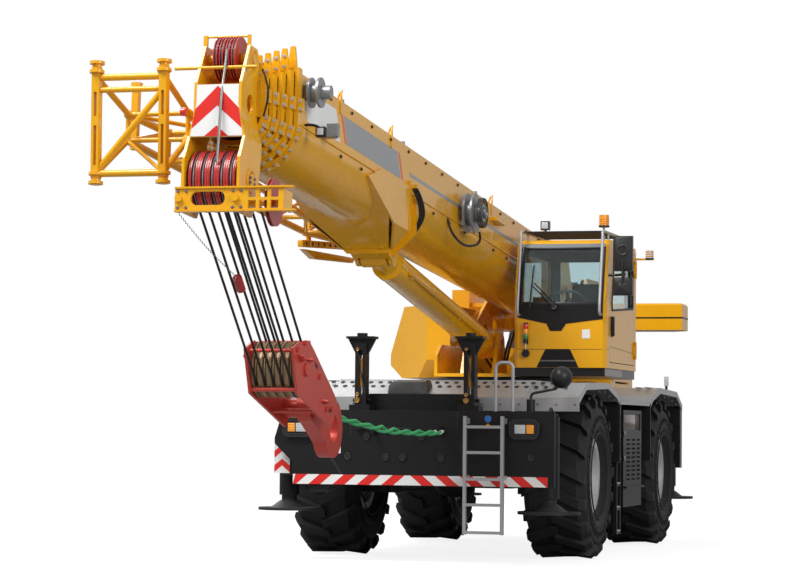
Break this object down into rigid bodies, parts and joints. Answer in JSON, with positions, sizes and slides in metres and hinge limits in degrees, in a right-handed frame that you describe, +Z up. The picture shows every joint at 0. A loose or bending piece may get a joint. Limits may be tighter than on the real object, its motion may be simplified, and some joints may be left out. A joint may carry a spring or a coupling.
{
  "type": "rough-terrain mobile crane",
  "caption": "Rough-terrain mobile crane: two-axle carrier, slewing upper with cab, telescopic boom, stowed lattice jib and hook block.",
  "frame": {"origin": "on the ground under the middle of the crane's overall box", "axes": "+X the driving direction, +Y the left side, +Z up"},
  "size_m": [14.0922, 3.5849, 4.6234],
  "materials": {
    "crane_yellow": "satin",
    "dark_paint": "matte",
    "cast_iron": "rough",
    "steel": "satin",
    "red_paint": "satin",
    "tyre": "matte",
    "cab_glass": "clear",
    "seat_cloth": "matte",
    "grey_plastic": "matte",
    "silver_paint": "satin",
    "rope": "matte"
  },
  "bodies": {
    "carrier": {"chassis_frame": "dark_paint", "axle_beams": "dark_paint", "drive_units": "cast_iron", "engine_hood": "crane_yellow", "front_outrigger_box": "dark_paint", "rear_outrigger_box": "dark_paint", "fender_deck": "silver_paint", "side_locker": "dark_paint", "fuel_tank": "dark_paint", "ladders": "silver_paint", "rest_posts": "dark_paint", "bumper_fittings": "grey_plastic", "slew_ring": "steel"},
    "upper": {"turntable": "crane_yellow", "counterweight": "crane_yellow", "winches": "dark_paint", "side_housing": "crane_yellow", "cab_shell": "crane_yellow", "cab_glass": "cab_glass", "cab_interior": "grey_plastic", "cab_seat": "seat_cloth", "cab_fittings": "silver_paint"},
    "cab_door": {"cab_door": "crane_yellow", "door_glass": "cab_glass"},
    "boom_base": {"boom_base": "crane_yellow", "jib_lattice": "crane_yellow", "cable_reels": "dark_paint"},
    "boom_section_2": {"boom_section_2": "crane_yellow"},
    "boom_section_3": {"boom_section_3": "crane_yellow"},
    "boom_section_4": {"boom_section_4": "crane_yellow"},
    "boom_section_5": {"boom_section_5": "crane_yellow", "boom_head": "crane_yellow", "head_sheaves": "red_paint"},
    "luff_rod": {"luff_rod": "steel"},
    "luff_barrel": {"luff_barrel": "dark_paint"},
    "falls": {"hoist_falls": "rope"},
    "hook_block": {"block_frame": "red_paint", "block_sheaves": "steel", "hook": "red_paint"},
    "knuckle_fl": {"knuckle_fl": "dark_paint"},
    "wheel_fl": {"tyre_fl": "tyre", "rim_fl": "silver_paint"},
    "knuckle_fr": {"knuckle_fr": "dark_paint"},
    "wheel_fr": {"tyre_fr": "tyre", "rim_fr": "silver_paint"},
    "knuckle_rl": {"knuckle_rl": "dark_paint"},
    "wheel_rl": {"tyre_rl": "tyre", "rim_rl": "silver_paint"},
    "knuckle_rr": {"knuckle_rr": "dark_paint"},
    "wheel_rr": {"tyre_rr": "tyre", "rim_rr": "silver_paint"},
    "beam_fl": {"beam_fl": "dark_paint"},
    "jack_fl": {"jack_fl": "dark_paint"},
    "beam_fr": {"beam_fr": "dark_paint"},
    "jack_fr": {"jack_fr": "dark_paint"},
    "beam_rl": {"beam_rl": "dark_paint"},
    "jack_rl": {"jack_rl": "dark_paint"},
    "beam_rr": {"beam_rr": "dark_paint"},
    "jack_rr": {"jack_rr": "dark_paint"}
  },
  "joints": [
    {"name": "slew", "type": "hinge", "parent": "carrier", "child": "upper", "pos_m": [-3.15, 0, 1.9], "axis": [0, 0, 1], "continuous": true},
    {"name": "boom_luff", "type": "hinge", "parent": "upper", "child": "boom_base", "pos_m": [-5.25, 0, 2.95], "axis": [0, -1, 0], "range_deg": [-5.8, 75.7]},
    {"name": "luff_rod_pin", "type": "hinge", "parent": "boom_base", "child": "luff_rod", "pos_m": [2.1, 0, 3.075], "axis": [0, -1, 0], "range_deg": [-1.4, 16.8]},
    {"name": "luff_barrel_slide", "type": "slide", "parent": "luff_rod", "child": "luff_barrel", "axis": [-0.9869, 0, -0.1616], "range_m": [-0.24, 3]},
    {"name": "cab_door_hinge", "type": "hinge", "parent": "upper", "child": "cab_door", "pos_m": [-3.454, 1.576, 2.8], "axis": [0, 0, 1], "range_deg": [0, 75]},
    {"name": "tele_2", "type": "slide", "parent": "boom_base", "child": "boom_section_2", "axis": [0.9972, 0, 0.075], "range_m": [0, 8.35]},
    {"name": "tele_3", "type": "slide", "parent": "boom_section_2", "child": "boom_section_3", "axis": [0.9972, 0, 0.075], "range_m": [0, 8.35]},
    {"name": "tele_4", "type": "slide", "parent": "boom_section_3", "child": "boom_section_4", "axis": [0.9972, 0, 0.075], "range_m": [0, 8.35]},
    {"name": "tele_5", "type": "slide", "parent": "boom_section_4", "child": "boom_section_5", "axis": [0.9972, 0, 0.075], "range_m": [0, 8.35]},
    {"name": "falls_swing", "type": "hinge", "parent": "boom_section_5", "child": "falls", "pos_m": [6.70013, 0, 3.37019], "axis": [0, -1, 0], "range_deg": [-22.7, 1.8]},
    {"name": "hoist", "type": "slide", "parent": "falls", "child": "hook_block", "axis": [-0.7364, 0, -0.6765], "range_m": [-1.1, 0], "deforming": ["hoist_falls"]},
    {"name": "steer_fl", "type": "hinge", "parent": "carrier", "child": "knuckle_fl", "pos_m": [-1.1, 0.82, 0.875], "axis": [0, 0, 1], "range_deg": [-25, 25]},
    {"name": "wheel_fl_spin", "type": "hinge", "parent": "knuckle_fl", "child": "wheel_fl", "pos_m": [-1.1, 1.275, 0.875], "axis": [0, 1, 0], "continuous": true},
    {"name": "steer_fr", "type": "hinge", "parent": "carrier", "child": "knuckle_fr", "pos_m": [-1.1, -0.82, 0.875], "axis": [0, 0, 1], "range_deg": [-25, 25]},
    {"name": "wheel_fr_spin", "type": "hinge", "parent": "knuckle_fr", "child": "wheel_fr", "pos_m": [-1.1, -1.275, 0.875], "axis": [0, 1, 0], "continuous": true},
    {"name": "steer_rl", "type": "hinge", "parent": "carrier", "child": "knuckle_rl", "pos_m": [-5.2, 0.82, 0.875], "axis": [0, 0, 1], "range_deg": [-25, 25]},
    {"name": "wheel_rl_spin", "type": "hinge", "parent": "knuckle_rl", "child": "wheel_rl", "pos_m": [-5.2, 1.275, 0.875], "axis": [0, 1, 0], "continuous": true},
    {"name": "steer_rr", "type": "hinge", "parent": "carrier", "child": "knuckle_rr", "pos_m": [-5.2, -0.82, 0.875], "axis": [0, 0, 1], "range_deg": [-25, 25]},
    {"name": "wheel_rr_spin", "type": "hinge", "parent": "knuckle_rr", "child": "wheel_rr", "pos_m": [-5.2, -1.275, 0.875], "axis": [0, 1, 0], "continuous": true},
    {"name": "beam_fl_slide", "type": "slide", "parent": "carrier", "child": "beam_fl", "axis": [0, 1, 0], "range_m": [0, 1.9]},
    {"name": "jack_fl_slide", "type": "slide", "parent": "beam_fl", "child": "jack_fl", "axis": [0, 0, -1], "range_m": [0, 0.6]},
    {"name": "beam_fr_slide", "type": "slide", "parent": "carrier", "child": "beam_fr", "axis": [0, -1, 0], "range_m": [0, 1.9]},
    {"name": "jack_fr_slide", "type": "slide", "parent": "beam_fr", "child": "jack_fr", "axis": [0, 0, -1], "range_m": [0, 0.6]},
    {"name": "beam_rl_slide", "type": "slide", "parent": "carrier", "child": "beam_rl", "axis": [0, 1, 0], "range_m": [0, 1.9]},
    {"name": "jack_rl_slide", "type": "slide", "parent": "beam_rl", "child": "jack_rl", "axis": [0, 0, -1], "range_m": [0, 0.6]},
    {"name": "beam_rr_slide", "type": "slide", "parent": "carrier", "child": "beam_rr", "axis": [0, -1, 0], "range_m": [0, 1.9]},
    {"name": "jack_rr_slide", "type": "slide", "parent": "beam_rr", "child": "jack_rr", "axis": [0, 0, -1], "range_m": [0, 0.6]}
  ],
  "couplings": [
    {"joint": "luff_rod_pin", "follows": "boom_luff", "ratio": 0.22},
    {"joint": "luff_barrel_slide", "follows": "boom_luff", "m_per_rad": 2.25},
    {"joint": "tele_4", "follows": "tele_3", "ratio": 1},
    {"joint": "tele_5", "follows": "tele_3", "ratio": 1},
    {"joint": "falls_swing", "follows": "boom_luff", "ratio": -0.298},
    {"joint": "steer_fr", "follows": "steer_fl", "ratio": 1},
    {"joint": "steer_rr", "follows": "steer_rl", "ratio": 1}
  ]
}
